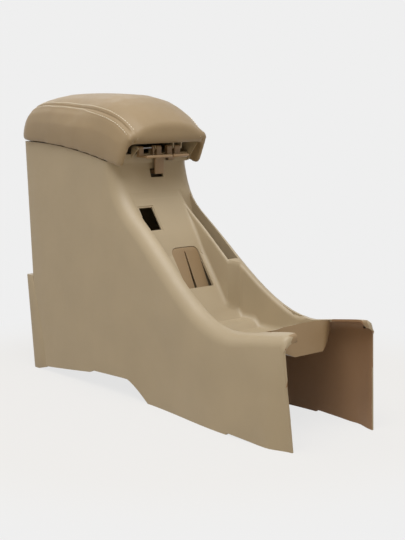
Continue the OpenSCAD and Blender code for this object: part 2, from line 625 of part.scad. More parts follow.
module armrest_pad() color(leather) seat() difference() {
    loft([for (x = pad_steps) pad_ring(x)]);
    across(-side_in - 2.4, side_in + 2.4) polygon([[4, 300], [4.5, base_under(5) + 3.3],
        [base_x[1] + 0.4, base_under(base_x[1]) + 3.3], [base_x[1] + 1, base_under(base_x[1]) - 0.5],
        [pad_front + 9, base_under(base_x[1]) - 0.5], [pad_front + 9, 300]]);
    across(-53.8, 53.8) polygon([[-20, 300], [-20, pin_z + knuckle_r + 1],
        [0, pin_z + knuckle_r + 5], [3.4, base_under(5) + 3.9], [7, base_under(5) + 3.9], [7, 300]]);
}

console_shell();
rear_panel();
storage_bin();
bin_screws();
bin_mat();
slot_cover();
slot_frame();
slot_frame_screws();
hinge_bracket_left();
hinge_bracket_right();
hinge_screws();
hinge_pin();
lid_tray();
tray_mat();
bin_latch_lever();
bin_latch_pin();
lid_base();
armrest_pad();
tray_latch_lever();
tray_latch_pin();
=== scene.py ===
"""Looks of a car centre armrest: a console box with a padded lid, dressed over its CAD frame."""
import math

import bmesh
import bpy
from mathutils import Matrix, Vector
from mathutils.bvhtree import BVHTree


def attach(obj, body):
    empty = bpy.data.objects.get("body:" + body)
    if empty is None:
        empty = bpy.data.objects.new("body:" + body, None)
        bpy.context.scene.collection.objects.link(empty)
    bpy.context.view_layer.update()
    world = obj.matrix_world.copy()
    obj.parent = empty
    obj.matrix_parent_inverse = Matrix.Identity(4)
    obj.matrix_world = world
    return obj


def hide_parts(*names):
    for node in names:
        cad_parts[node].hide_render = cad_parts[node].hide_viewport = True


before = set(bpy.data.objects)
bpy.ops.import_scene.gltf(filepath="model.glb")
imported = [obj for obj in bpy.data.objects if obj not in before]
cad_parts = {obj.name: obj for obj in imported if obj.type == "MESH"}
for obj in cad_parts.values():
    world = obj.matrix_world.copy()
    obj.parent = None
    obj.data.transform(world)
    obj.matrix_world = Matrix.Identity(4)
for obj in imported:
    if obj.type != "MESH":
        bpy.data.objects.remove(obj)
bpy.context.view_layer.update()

MM = 0.001
# The body's middle lies over the origin, so lengths from the rear wall are shifted by this much
ORIGIN_X = 299.5

bl_info = {
    "name": "Centre Armrest Looks",
    "version": (1, 0, 0),
    "blender": (4, 5, 0),
    "location": "3D View > Sidebar > Armrest",
    "description": "Finishes the console, its latches and the stitched armrest pad",
    "category": "Object",
}


def place(x, y, z):
    """A point of the frame in metres, from millimetres measured from the top of the rear wall."""
    return Vector(((x - ORIGIN_X) * MM, y * MM, z * MM))


class ArmrestColours(bpy.types.PropertyGroup):
    body: bpy.props.StringProperty(
        name="Body plastic", description="Moulded body colour, sRGB hex", default="#B8AA91")
    leather: bpy.props.StringProperty(
        name="Leather", description="Colour of the armrest cover, sRGB hex", default="#A08C6E")
    thread: bpy.props.StringProperty(
        name="Thread", description="Colour of the top stitching, sRGB hex", default="#FBF6E6")
    lever: bpy.props.StringProperty(
        name="Latch plastic", description="Colour of the latch levers, sRGB hex", default="#A0876A")
    # The inner colour is darkened as painted shade for the console's inside
    inner: bpy.props.StringProperty(
        name="Inner plastic", description="Colour of bin and tray, sRGB hex", default="#6E6452")
    plate: bpy.props.StringProperty(
        name="Cover plate", description="Colour of the slotted cover plate, sRGB hex",
        default="#9C8567")
    # The bare back's colour is darker and redder than the body: painted shade for the shaded inner
    # faces
    back: bpy.props.StringProperty(
        name="Bare back", description="Colour of the moulding's ungrained back, sRGB hex",
        default="#A38264")
    rubber: bpy.props.StringProperty(
        name="Rubber", description="Colour of the loose mats, sRGB hex", default="#1F1E1D")
    steel: bpy.props.StringProperty(
        name="Plated steel", description="Colour of screws, pins and brackets, sRGB hex",
        default="#B9BABC")
    fill: bpy.props.StringProperty(
        name="Fill light", description="Colour of the light from all round, sRGB hex",
        default="#FFE9C2")
    paper: bpy.props.StringProperty(
        name="Floor paper", description="Colour that the floor throws back, sRGB hex",
        default="#C4BEB4")
    backdrop: bpy.props.StringProperty(
        name="Backdrop", description="Colour behind the object, sRGB hex", default="#EFEFEF")


class ArmrestSizes(bpy.types.PropertyGroup):
    edge_round: bpy.props.FloatProperty(
        name="Edge round", description="Rounding of moulded edges", default=0.9 * MM,
        min=0.0, unit="LENGTH")
    voxel: bpy.props.FloatProperty(
        name="Pad voxel", description="Mesh size of the pad before it is stuffed",
        default=4.0 * MM, min=2.0 * MM, unit="LENGTH")
    pressure: bpy.props.FloatProperty(
        name="Foam pressure", description="How hard the foam pushes the cover out", default=4.0,
        min=0.0)
    swell: bpy.props.FloatProperty(
        name="Largest swell", description="How far the cover may move from its pattern",
        default=4.0 * MM, min=0.0, unit="LENGTH")
    seam_width: bpy.props.FloatProperty(
        name="Seam width", description="Half width of the sewn groove", default=2.6 * MM,
        min=0.0, unit="LENGTH")
    seam_depth: bpy.props.FloatProperty(
        name="Seam depth", description="Depth of the sewn groove", default=1.7 * MM,
        min=0.0, unit="LENGTH")
    row_offset: bpy.props.FloatProperty(
        name="Row offset", description="Distance of each row of stitches from the seam",
        default=5.8 * MM, min=0.0, unit="LENGTH")
    stitch_pitch: bpy.props.FloatProperty(
        name="Stitch pitch", description="Distance from one stitch to the next",
        default=5.0 * MM, min=1.0 * MM, unit="LENGTH")
    stitch_length: bpy.props.FloatProperty(
        name="Stitch length", description="Length of thread that shows in one stitch",
        default=3.1 * MM, min=1.0 * MM, unit="LENGTH")
    thread_width: bpy.props.FloatProperty(
        name="Thread width", description="Diameter of the top stitching thread",
        default=1.3 * MM, min=0.2 * MM, unit="LENGTH")


NOISE_SPAN = (0.3, 0.7)
TWIST_MM = 0.9


def linear(text):
    """Linear RGBA from an sRGB hex colour."""
    parts = [int(text[i:i + 2], 16) / 255 for i in (1, 3, 5)]
    return [c / 12.92 if c <= 0.04045 else ((c + 0.055) / 1.055) ** 2.4 for c in parts] + [1.0]


def shade(text, factor):
    """The same colour made lighter or darker, linear RGBA."""
    return [min(1.0, c * factor) for c in linear(text)[:3]] + [1.0]


def add(material, kind, inputs=None, **settings):
    """A node with its settings made, its sockets set, and linked where a socket is given."""
    tree = material.node_tree
    made = tree.nodes.new(kind)
    for key, value in settings.items():
        setattr(made, key, value)
    for key, value in (inputs or {}).items():
        if isinstance(value, bpy.types.NodeSocket):
            tree.links.new(value, made.inputs[key])
        else:
            made.inputs[key].default_value = value
    return made


def blank(name):
    """A new material with no nodes but its output."""
    material = bpy.data.materials.new(name)
    material.use_nodes = True
    material.node_tree.nodes.clear()
    return material, add(material, "ShaderNodeOutputMaterial")


def per(size_mm):
    """Texture scale at which one feature is size_mm long."""
    return 1000.0 / size_mm


def mapped(material, value, low, high):
    """The output of a noise, which seldom leaves NOISE_SPAN, mapped to low and high."""
    return add(material, "ShaderNodeMapRange", {
        "Value": value, "From Min": NOISE_SPAN[0], "From Max": NOISE_SPAN[1], "To Min": low,
        "To Max": high}, clamp=True).outputs["Result"]


def grained(name, colour, grain_mm, relief_mm, rough, tone, ior=1.5, cells=True, metallic=0.0,
            sheen=0.0):
    """A surface with a pebbled or granular relief, a slow drift in tone and uneven gloss."""
    material, out = blank(name)
    where = add(material, "ShaderNodeTexCoord").outputs["Object"]
    # 70 mm drift in tone, as pigment and light handling leave it
    drift = add(material, "ShaderNodeTexNoise", {
        "Vector": where, "Scale": per(70), "Detail": 3.0}).outputs["Fac"]
    # 9 mm patches that shine a little more, as on a handled surface
    patch = add(material, "ShaderNodeTexNoise", {
        "Vector": where, "Scale": per(9), "Detail": 4.0, "Roughness": 0.6}).outputs["Fac"]
    if cells:
        relief = add(material, "ShaderNodeTexVoronoi", {
            "Vector": where, "Scale": per(grain_mm), "Smoothness": 0.35},
            feature="SMOOTH_F1").outputs["Distance"]
    else:
        relief = add(material, "ShaderNodeTexNoise", {
            "Vector": where, "Scale": per(grain_mm), "Detail": 2.0}).outputs["Fac"]
    tint = add(material, "ShaderNodeMix", {
        "Factor": mapped(material, drift, 0.0, 1.0),
        "A": shade(colour, 1.0 - tone), "B": shade(colour, 1.0 + tone * 0.6)}, data_type="RGBA")
    tint_out = [s for s in tint.outputs if s.type == "RGBA"][0]
    bump = add(material, "ShaderNodeBump", {
        "Height": relief, "Strength": 0.35, "Distance": relief_mm * MM})
    surface = add(material, "ShaderNodeBsdfPrincipled", {
        "Base Color": tint_out, "Roughness": mapped(material, patch, rough - 0.05, rough + 0.06),
        "Normal": bump.outputs["Normal"], "IOR": ior, "Metallic": metallic,
        "Sheen Weight": sheen})
    material.node_tree.links.new(surface.outputs["BSDF"], out.inputs["Surface"])
    return material


def body_plastic():
    # ABS moulded in a fine leather-grained tool: a soft, low sheen. The real grain of about
    # 0.7 mm can't show at this size, so it is drawn at 1.6 mm and kept shallow.
    return grained("moulded_abs", colours().body, 1.6, 0.10, 0.44, tone=0.05, ior=1.53)


def cover_leather():
    # Coated split leather pulled over foam: rounder pebbles of 1.3 mm and a dry, soft gloss
    return grained("coated_leather", colours().leather, 1.3, 0.16, 0.47, tone=0.07, ior=1.5,
                   sheen=0.15)


def plate_plastic():
    # The cover plate is moulded apart, in a smoother tool, and comes out a little redder. The same
    # finish darkens the console's cross wall as painted shade.
    return grained("moulded_cover_plate_and_cross_wall_shade", colours().plate, 1.6, 0.05, 0.48, tone=0.04, ior=1.53)


def back_plastic_in_painted_shade():
    # The back of the moulding has no grain: flat and duller than the face. Its darker, redder
    # colour is painted shade, with the warm bounce of the shaded inner faces.
    return grained("moulded_back_in_painted_shade", colours().back, 3.0, 0.03, 0.6, tone=0.05, cells=False,
                   ior=1.53)


def lever_plastic():
    # Acetal levers, moulded smooth: a waxy shine and a pinker beige than the body
    return grained("moulded_acetal", colours().lever, 1.2, 0.03, 0.36, tone=0.04, cells=False,
                   ior=1.48)


def inner_plastic_in_painted_shade():
    # Polypropylene bin and tray, moulded in a plain tool: dull, and a little darker than the body
    # as painted shade of the console's inside
    return grained("polypropylene_in_painted_shade", colours().inner, 1.4, 0.06, 0.55, tone=0.05, ior=1.49)


def mat_rubber():
    # Moulded rubber mats: matt, nearly black, with a dusty grain of 1 mm
    return grained("moulded_rubber", colours().rubber, 1.0, 0.12, 0.82, tone=0.12, cells=False,
                   ior=1.52)


def plated_steel():
    # Zinc plated steel: grey, with cloudy gloss from the plating bath
    return grained("zinc_plated_steel", colours().steel, 2.0, 0.02, 0.33, tone=0.10, cells=False,
                   metallic=1.0)


def sewing_thread():
    """Twisted polyester thread: pale, with the slant of its plies."""
    material, out = blank("twisted_polyester_thread")
    where = add(material, "ShaderNodeTexCoord").outputs["Object"]
    twist = add(material, "ShaderNodeTexWave", {
        "Vector": where, "Scale": per(TWIST_MM) / 6.28, "Distortion": 0.6},
        bands_direction="DIAGONAL").outputs["Fac"]
    bump = add(material, "ShaderNodeBump", {
        "Height": twist, "Strength": 0.5, "Distance": 0.1 * MM})
    surface = add(material, "ShaderNodeBsdfPrincipled", {
        "Base Color": linear(colours().thread), "Roughness": 0.6,
        "Normal": bump.outputs["Normal"], "Sheen Weight": 0.2})
    material.node_tree.links.new(surface.outputs["BSDF"], out.inputs["Surface"])
    return material


FINISHES = {}


def finish(kind):
    """A finish, made the first time that a piece asks for it."""
    if kind not in FINISHES:
        FINISHES[kind] = {
            "body": body_plastic, "plate": plate_plastic, "back": back_plastic_in_painted_shade,
            "leather": cover_leather, "lever": lever_plastic, "inner": inner_plastic_in_painted_shade,
            "rubber": mat_rubber, "steel": plated_steel, "thread": sewing_thread}[kind]()
    return FINISHES[kind]


def colours():
    """The colours set in the panel."""
    return bpy.context.scene.armrest_colours


def sizes():
    """The sizes set in the panel."""
    return bpy.context.scene.armrest_sizes


# Points closer than this are one, and faces within this angle of each other are one
WELD = 0.02 * MM
FLAT_ANGLE = 0.4


def only(piece):
    """Makes piece the one selected and active object."""
    bpy.ops.object.select_all(action="DESELECT")
    piece.select_set(True)
    bpy.context.view_layer.objects.active = piece


def copy_of(node_name, name):
    """A welded copy of a CAD node, to be refined in its place."""
    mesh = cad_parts[node_name].data.copy()
    mesh.materials.clear()
    piece = bpy.data.objects.new(name, mesh)
    piece.data.name = name
    bpy.context.scene.collection.objects.link(piece)
    only(piece)
    bpy.ops.object.mode_set(mode="EDIT")
    bpy.ops.mesh.select_all(action="SELECT")
    bpy.ops.mesh.customdata_custom_splitnormals_clear()
    bpy.ops.mesh.remove_doubles(threshold=WELD)
    bpy.ops.mesh.dissolve_degenerate(threshold=WELD)
    bpy.ops.mesh.faces_shade_smooth()
    bpy.ops.object.mode_set(mode="OBJECT")
    return piece


def apply_modifier(piece, kind, **settings):
    """Adds a modifier, sets it and applies it."""
    only(piece)
    made = piece.modifiers.new(kind.title(), kind)
    for key, value in settings.items():
        setattr(made, key, value)
    bpy.ops.object.modifier_apply(modifier=made.name)


def round_edges(piece, width, angle=35, segments=2):
    """Rounds the sharp edges of a moulded piece and smooths the rest."""
    only(piece)
    bpy.ops.object.mode_set(mode="EDIT")
    bpy.ops.mesh.select_all(action="SELECT")
    bpy.ops.mesh.dissolve_limited(angle_limit=math.radians(FLAT_ANGLE))
    bpy.ops.object.mode_set(mode="OBJECT")
    if width > 0:
        apply_modifier(piece, "BEVEL", width=width, segments=segments, limit_method="ANGLE",
                       angle_limit=math.radians(angle), use_clamp_overlap=True,
                       harden_normals=False)
    apply_modifier(piece, "TRIANGULATE")
    only(piece)
    bpy.ops.object.shade_smooth_by_angle(angle=math.radians(angle))
    return piece


def dress(piece, kind, body, slot, *nodes):
    """Gives a piece its finish, its body and the nodes that it stands for."""
    piece.data.materials.clear()
    piece.data.materials.append(finish(kind))
    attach(piece, body)
    if nodes:
        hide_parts(*nodes)


# The shape's own sizes are in millimetres: x from the top of the rear wall, y from the middle,
# z from the ground.

# Slope of the channel's panel, the middle of the slotted plate on it, how far the plate's screws
# stand from that middle along and across the slope, and the reach of one bore's mouth
PANEL_ANGLE = 63.0
PLATE_X, PLATE_Y, PLATE_Z = 326.0, 5.0, 170.8
BORE_SPREAD = (41.0, 28.6)
BORE_REACH = 2.0
# The slit in the plate: no edge of it is further than this from the middle, and it is opened
# this many times
SLIT_REACH = 4.0
SLIT_WIDER = 1.7

# The box's top edge: its height at the rear, its length, its drop over that length, the power
# of that drop, and its slope in front of the box
BOX_H, BOX_LEN = 361.0, 236.0
EDGE_DROP, EDGE_POWER, EDGE_SLOPE = 24.0, 2.2, 0.22

# The arms stand free from ARM_X to their front edge at TIP_X
ARM_X = 541.0
TIP_X = 598.0
# Half width of the console before the arms narrow. Each narrowing is the amount, where it
# starts and over which length: that of the solid, and that of the feet seen in the photo.
FRONT_W = 86.0
SOLID_TOE_IN = (16.2, 540.0, 64.0)
FOOT_TOE_IN = (10.5, 570.0, 36.0)
# The feet's width fades into the solid's at this height
FOOT_FADE_Z = 140.0
# Points of the arms lie further out than this
ARM_INNER_Y = 60.0
# The soles are points below SOLE_Z. They are laid flat from SOLE_X on, over SOLE_RUN.
SOLE_Z, SOLE_X, SOLE_RUN = 4.0, 515.0, 45.0
# Below LEAN_Z the front edge leans forward by up to LEAN, from LEAN_X on, over LEAN_RUN
LEAN_Z, LEAN, LEAN_X, LEAN_RUN = 100.0, 2.5, 590.0, 14.0

# Where the moulding's bare back shows, darkened as painted shade: low walls from LOW_X on, the
# arms' inner faces, and the channel's outer walls from SIDE_RUN before the arms on, outside SIDE_Y
LOW_X, LOW_Z = 400.0, 100.0
SIDE_RUN, SIDE_Y = 40.0, 74.0
# The cross wall between the arms, darkened with the plate colour as painted shade: its faces look
# forward, from CROSS_RUN before the arms on
CROSS_RUN, CROSS_Y, CROSS_FACING = 10.0, 70.0, 0.5
# Faces that look further up or down than this are edges, and keep the body's grain and colour, free
# of painted shade
EDGE_FACING = 0.9

# The cover's lower edge, RIM_FROM to RIM_TO long and further out than RIM_Y, takes in what is
# up to RIM_BAND above the lid line. It is set RIM_GAP above the line; the solid's edge, at
# SOLID_GAP, becomes its lowest point, and what is above is stretched by RIM_STRETCH.
RIM_FROM, RIM_TO, RIM_Y = 2.0, 256.0, 60.0
RIM_BAND, RIM_GAP, SOLID_GAP, RIM_STRETCH = 4.5, 1.7, 2.2, 1.2

# Shares of the edge rounding that the thinner pieces take
THIN_EDGE, LEVER_EDGE = 0.6, 0.5


def clamp(value):
    """The value, kept from 0 to 1."""
    return min(max(value, 0.0), 1.0)


def ease(value):
    """A soft step from 0 to 1."""
    part = clamp(value)
    return part * part * (3 - 2 * part)


def lid_line(x):
    """Height of the line where the console ends and the lid begins."""
    drop = EDGE_DROP * clamp(x / BOX_LEN) ** EDGE_POWER
    return BOX_H - drop - max(0.0, x - BOX_LEN) * EDGE_SLOPE


def half_width(x, toe_in):
    """Half width of the arms at x, with one of their narrowings."""
    amount, start, run = toe_in
    return FRONT_W - amount * ease((x - start) / run)


class ARMREST_OT_body(bpy.types.Operator):
    """Finishes the console body: its face, and its bare back and cross wall in darker colours
    painted as shade
    """
    bl_idname = "armrest.body"
    bl_label = "Console body"

    def execute(self, context):
        piece = copy_of("console_shell", "console_body")
        self.close_screw_bores(piece)
        piece = round_edges(piece, 0)
        self.shape_arms(piece)
        dress(piece, "body", "console", "shell_plastic", "console_shell")
        # The bare back's darker colour, painted shade on the inward faces
        piece.data.materials.append(finish("back"))
        # The plate's darker colour, painted shade on the cross wall
        piece.data.materials.append(finish("plate"))
        for face in piece.data.polygons:
            face.material_index = self.finish_slot(face)
        return {"FINISHED"}

    def finish_slot(self, face):
        """0 for a grained face, 1 for the moulding's bare back in painted shade, 2 for the cross
        wall in painted shade.
        """
        at, normal = face.center / MM, face.normal
        x = at.x + ORIGIN_X
        if abs(normal.z) >= EDGE_FACING:
            return 0
        if x > ARM_X or x > LOW_X and at.z < LOW_Z:
            inside = abs(at.y) > ARM_INNER_Y
        else:
            inside = abs(at.y) > SIDE_Y and x > ARM_X - SIDE_RUN
        # Inward faces in these places take the painted shade of the bare back
        if inside and normal.y * at.y < 0:
            return 1
        # Forward faces of the cross wall take the plate colour as painted shade
        cross = x > ARM_X - CROSS_RUN and abs(at.y) < CROSS_Y and normal.x > CROSS_FACING
        return 2 if cross else 0

    def close_screw_bores(self, piece):
        """Draws the mouth of each screw bore shut, where it would show in the channel."""
        slope = math.radians(PANEL_ANGLE)
        for along in (-1, 1):
            for aside in (-1, 1):
                mouth = place(PLATE_X + along * BORE_SPREAD[0] * math.cos(slope),
                              PLATE_Y + aside * BORE_SPREAD[1],
                              PLATE_Z - along * BORE_SPREAD[0] * math.sin(slope))
                for v in piece.data.vertices:
                    if (v.co - mouth).length < BORE_REACH * MM:
                        v.co = mouth

    def shape_arms(self, piece):
        """Lets the feet of the arms stand flat and a little wider, under a level front edge."""
        for v in piece.data.vertices:
            x, z = v.co.x / MM + ORIGIN_X, v.co.z / MM
            if x < ARM_X or abs(v.co.y) < ARM_INNER_Y * MM:
                continue
            wider = half_width(x, FOOT_TOE_IN) / half_width(x, SOLID_TOE_IN)
            v.co.y *= 1 + (wider - 1) * (1 - clamp(z / FOOT_FADE_Z))
            if z < SOLE_Z:
                v.co.z *= 1 - clamp((x - SOLE_X) / SOLE_RUN)
            if z < LEAN_Z:
                v.co.x += LEAN * clamp((x - LEAN_X) / LEAN_RUN) * (1 - z / LEAN_Z) * MM
            elif x > TIP_X:
                v.co.x = (TIP_X - ORIGIN_X) * MM


class ARMREST_OT_covers(bpy.types.Operator):
    """Finishes the rear cover and the slotted cover plate"""
    bl_idname = "armrest.covers"
    bl_label = "Covers"

    def execute(self, context):
        rear = round_edges(copy_of("rear_panel", "rear_cover"), sizes().edge_round)
        dress(rear, "body", "console", "shell_plastic", "rear_panel")
        plate = copy_of("slot_cover", "slotted_cover")
        self.trim(plate)
        plate = round_edges(plate, sizes().edge_round * THIN_EDGE)
        dress(plate, "plate", "console", "shell_plastic", "slot_cover")
        return {"FINISHED"}

    def trim(self, plate):
        """Opens the slit down the plate's middle as wide as it shows."""
        for v in plate.data.vertices:
            off = v.co.y - PLATE_Y * MM
            if abs(off) < SLIT_REACH * MM:
                v.co.y = PLATE_Y * MM + off * SLIT_WIDER


class ARMREST_OT_latches(bpy.types.Operator):
    """Finishes the two latch levers"""
    bl_idname = "armrest.latches"
    bl_label = "Latch levers"

    def execute(self, context):
        for node, name, body in (("bin_latch_lever", "wide_latch", "bin_latch"),
                                 ("tray_latch_lever", "narrow_latch", "tray_latch")):
            piece = round_edges(copy_of(node, name), sizes().edge_round * LEVER_EDGE)
            dress(piece, "lever", body, "lever_plastic", node)
        return {"FINISHED"}


class ARMREST_OT_lid_frame(bpy.types.Operator):
    """Finishes the tray and the base under the pad"""
    bl_idname = "armrest.lid_frame"
    bl_label = "Tray and lid base"

    def execute(self, context):
        tray = round_edges(copy_of("lid_tray", "upper_tray"), sizes().edge_round * THIN_EDGE)
        dress(tray, "body", "tray", "shell_plastic", "lid_tray")
        base = round_edges(copy_of("lid_base", "pad_base"), sizes().edge_round * THIN_EDGE)
        dress(base, "body", "lid", "shell_plastic", "lid_base")
        return {"FINISHED"}


class ARMREST_OT_hardware(bpy.types.Operator):
    """Gives the bin, mats, screws, pins and brackets their finishes"""
    bl_idname = "armrest.hardware"
    bl_label = "Bin and hardware"

    def execute(self, context):
        # The bin and slot frame take the inner colour, darkened as painted shade
        plain = {"storage_bin": "inner", "slot_frame": "inner", "bin_mat": "rubber",
                 "tray_mat": "rubber", "bin_screws": "steel", "slot_frame_screws": "steel",
                 "hinge_bracket_left": "steel", "hinge_bracket_right": "steel",
                 "hinge_screws": "steel", "hinge_pin": "steel", "bin_latch_pin": "steel",
                 "tray_latch_pin": "steel"}
        for name, kind in plain.items():
            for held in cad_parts[name].material_slots:
                held.material = finish(kind)
        return {"FINISHED"}


# Path of each side seam: length, height. It runs at SEAM_Y each side of the middle, and is
# drawn in SEAM_STEPS straight steps.
SEAM_Y = 63.0
SEAM = [(-2, 385), (4, 404), (13, 416), (30, 420), (60, 421), (100, 420), (140, 417), (190, 410),
        (235, 400), (256, 390), (270, 379), (279, 366)]
SEAM_STEPS = 160
# Points laid between two given ones of a curve, and passes that draw a path taut
CURVE_STEPS = 12
TAUT_PASSES = 24
# The cloth pass that stuffs the cover: its frames, and the cover's mass and stiffness
STUFF_FRAMES = 20
CLOTH_MASS, CLOTH_STIFF, CLOTH_BEND = 0.3, 30, 2
# What faces further down than this is the underside, and is held
UNDERSIDE = -0.3
# The mesh is made finer up to this many seam widths from a seam
FINE_REACH = 2.2
# The roll beside each seam: its height in millimetres, and its middle, its spread and its end
# in seam widths. The groove between the rolls deepens with this power.
ROLL, ROLL_AT, ROLL_SPREAD, ROLL_END = 0.35, 1.9, 0.8, 5
PULL_POWER = 1.5
# Width of the ribbon that stands for a path, and how far from it a distance is told, in metres
RIBBON, PATH_REACH = 0.01 * MM, 50 * MM
# Part of the thread's width that lifts each stitch off the cover
STITCH_LIFT = 0.12


def smooth_path(points, steps):
    """Points evenly spread along a smooth curve through the given ones."""
    dense = []
    for i in range(len(points) - 1):
        a, b = points[max(0, i - 1)], points[i]
        c, d = points[i + 1], points[min(len(points) - 1, i + 2)]
        for k in range(CURVE_STEPS):
            t = k / CURVE_STEPS
            dense.append(0.5 * ((2 * b) + (c - a) * t + (2 * a - 5 * b + 4 * c - d) * t * t
                                + (3 * b - a - 3 * c + d) * t ** 3))
    dense.append(points[-1])
    lengths = [0.0]
    for p, q in zip(dense, dense[1:]):
        lengths.append(lengths[-1] + (q - p).length)
    out, j = [], 0
    for i in range(steps + 1):
        want = lengths[-1] * i / steps
        while j < len(lengths) - 2 and lengths[j + 1] < want:
            j += 1
        gap = lengths[j + 1] - lengths[j] or 1
        out.append(dense[j].lerp(dense[j + 1], (want - lengths[j]) / gap))
    return out


def seam_on(tree, side):
    """The seam laid on the pad's surface, on one side."""
    guide = [place(x, side * SEAM_Y, z) for x, z in SEAM]
    return laid([tree.find_nearest(p)[0] for p in smooth_path(guide, SEAM_STEPS)])


def laid(path):
    """A path drawn taut, free of the small steps of the mesh that it was laid on."""
    for _ in range(TAUT_PASSES):
        path = [path[0]] + [(a + b * 2 + c) / 4 for a, b, c in zip(path, path[1:], path[2:])] \
            + [path[-1]]
    return path


def evened(mesh, moves, passes=16):
    """Spreads each vertex's move over its neighbours, as foam under the leather does."""
    links = [[] for _ in mesh.vertices]
    for edge in mesh.edges:
        a, b = edge.vertices
        links[a].append(b)
        links[b].append(a)
    for _ in range(passes):
        moves = [(move + sum((moves[j] for j in near), Vector()) / max(len(near), 1)) / 2
                 for move, near in zip(moves, links)]
    return moves


def stuff(piece):
    """Stuffs the cover: cloth under pressure, its hollow underside held where it is."""
    mesh = piece.data
    tree = BVHTree.FromObject(piece, bpy.context.evaluated_depsgraph_get())
    held = piece.vertex_groups.new(name="held")
    start = []
    for v in mesh.vertices:
        normal = v.normal
        hit = tree.ray_cast(v.co + normal * 0.5 * MM, normal)[0]
        free = hit is None and normal.z > UNDERSIDE
        if not free:
            held.add([v.index], 1.0, "REPLACE")
        start.append(v.co.copy())
    cloth = piece.modifiers.new("Stuffing", "CLOTH")
    cloth.settings.quality = 6
    cloth.settings.mass = CLOTH_MASS
    cloth.settings.use_pressure = True
    cloth.settings.uniform_pressure_force = sizes().pressure
    cloth.settings.tension_stiffness = CLOTH_STIFF
    cloth.settings.compression_stiffness = CLOTH_STIFF
    cloth.settings.bending_stiffness = CLOTH_BEND
    cloth.settings.vertex_group_mass = "held"
    cloth.settings.effector_weights.gravity = 0
    cloth.collision_settings.use_collision = False
    cloth.point_cache.frame_start = 1
    cloth.point_cache.frame_end = STUFF_FRAMES
    scene = bpy.context.scene
    for i in range(1, STUFF_FRAMES + 1):
        scene.frame_set(i)
    only(piece)
    bpy.ops.object.modifier_apply(modifier=cloth.name)
    cap = sizes().swell
    moves = [v.co - was for v, was in zip(piece.data.vertices, start)]
    moves = [m * (cap / m.length) if m.length > cap else m for m in moves]
    for v, was, move in zip(piece.data.vertices, start, evened(piece.data, moves)):
        v.co = was + move
    scene.frame_set(1)
    piece.vertex_groups.clear()


class ARMREST_OT_pad(bpy.types.Operator):
    """Stuffs the armrest pad and sews a groove along each side of its top"""
    bl_idname = "armrest.pad"
    bl_label = "Armrest pad"

    def execute(self, context):
        piece = copy_of("armrest_pad", "armrest_cover")
        apply_modifier(piece, "REMESH", mode="VOXEL", voxel_size=sizes().voxel)
        apply_modifier(piece, "SMOOTH", factor=0.5, iterations=4)
        stuff(piece)
        apply_modifier(piece, "SUBSURF", levels=1, render_levels=1)
        tree = BVHTree.FromObject(piece, context.evaluated_depsgraph_get())
        seams = [seam_on(tree, side) for side in (-1, 1)]
        self.refine(piece, seams)
        self.groove(piece, seams)
        self.level_rim(piece)
        only(piece)
        bpy.ops.object.shade_smooth()
        dress(piece, "leather", "lid", "leather", "armrest_pad")
        return {"FINISHED"}

    def refine(self, piece, seams):
        """Makes the mesh twice as fine near the seams."""
        work = bmesh.new()
        work.from_mesh(piece.data)
        near = near_path(seams)
        reach = sizes().seam_width * FINE_REACH
        edges = [e for e in work.edges if near((e.verts[0].co + e.verts[1].co) / 2) < reach]
        bmesh.ops.subdivide_edges(work, edges=edges, cuts=1, use_grid_fill=True)
        bmesh.ops.triangulate(work, faces=[f for f in work.faces if len(f.verts) > 4])
        work.to_mesh(piece.data)
        work.free()

    def level_rim(self, piece):
        """Makes the cover's lower edge follow the lid line, a little above the console."""
        for v in piece.data.vertices:
            x, z = v.co.x / MM + ORIGIN_X, v.co.z / MM
            rise = z - lid_line(x)
            if RIM_FROM < x < RIM_TO and abs(v.co.y) > RIM_Y * MM and rise < RIM_BAND:
                above = max(0.0, (rise - SOLID_GAP) * RIM_STRETCH)
                v.co.z = (lid_line(x) + RIM_GAP + above) * MM

    def groove(self, piece, seams):
        """Pulls the cover in along the seams, with a slight roll on each side."""
        near = near_path(seams)
        width, depth = sizes().seam_width, sizes().seam_depth
        piece.data.update()
        moves = []
        for v in piece.data.vertices:
            d = near(v.co) / width
            pull = depth * (1 - d) ** PULL_POWER if d < 1 else 0
            roll = math.exp(-((d - ROLL_AT) / ROLL_SPREAD) ** 2) if d < ROLL_END else 0
            moves.append(v.normal * (ROLL * MM * roll - pull))
        for v, move in zip(piece.data.vertices, moves):
            v.co += move


def near_path(paths):
    """A function that gives the distance to the nearest of some paths."""
    work = bmesh.new()
    for path in paths:
        last = None
        for p in path:
            v = work.verts.new(p)
            w = work.verts.new(p + Vector((0, 0, RIBBON)))
            if last:
                work.faces.new((last[0], v, w, last[1]))
            last = (v, w)
    tree = BVHTree.FromBMesh(work)
    work.free()

    def distance(point):
        found = tree.find_nearest(point, PATH_REACH)
        return found[3] if found[0] is not None else 1.0
    return distance


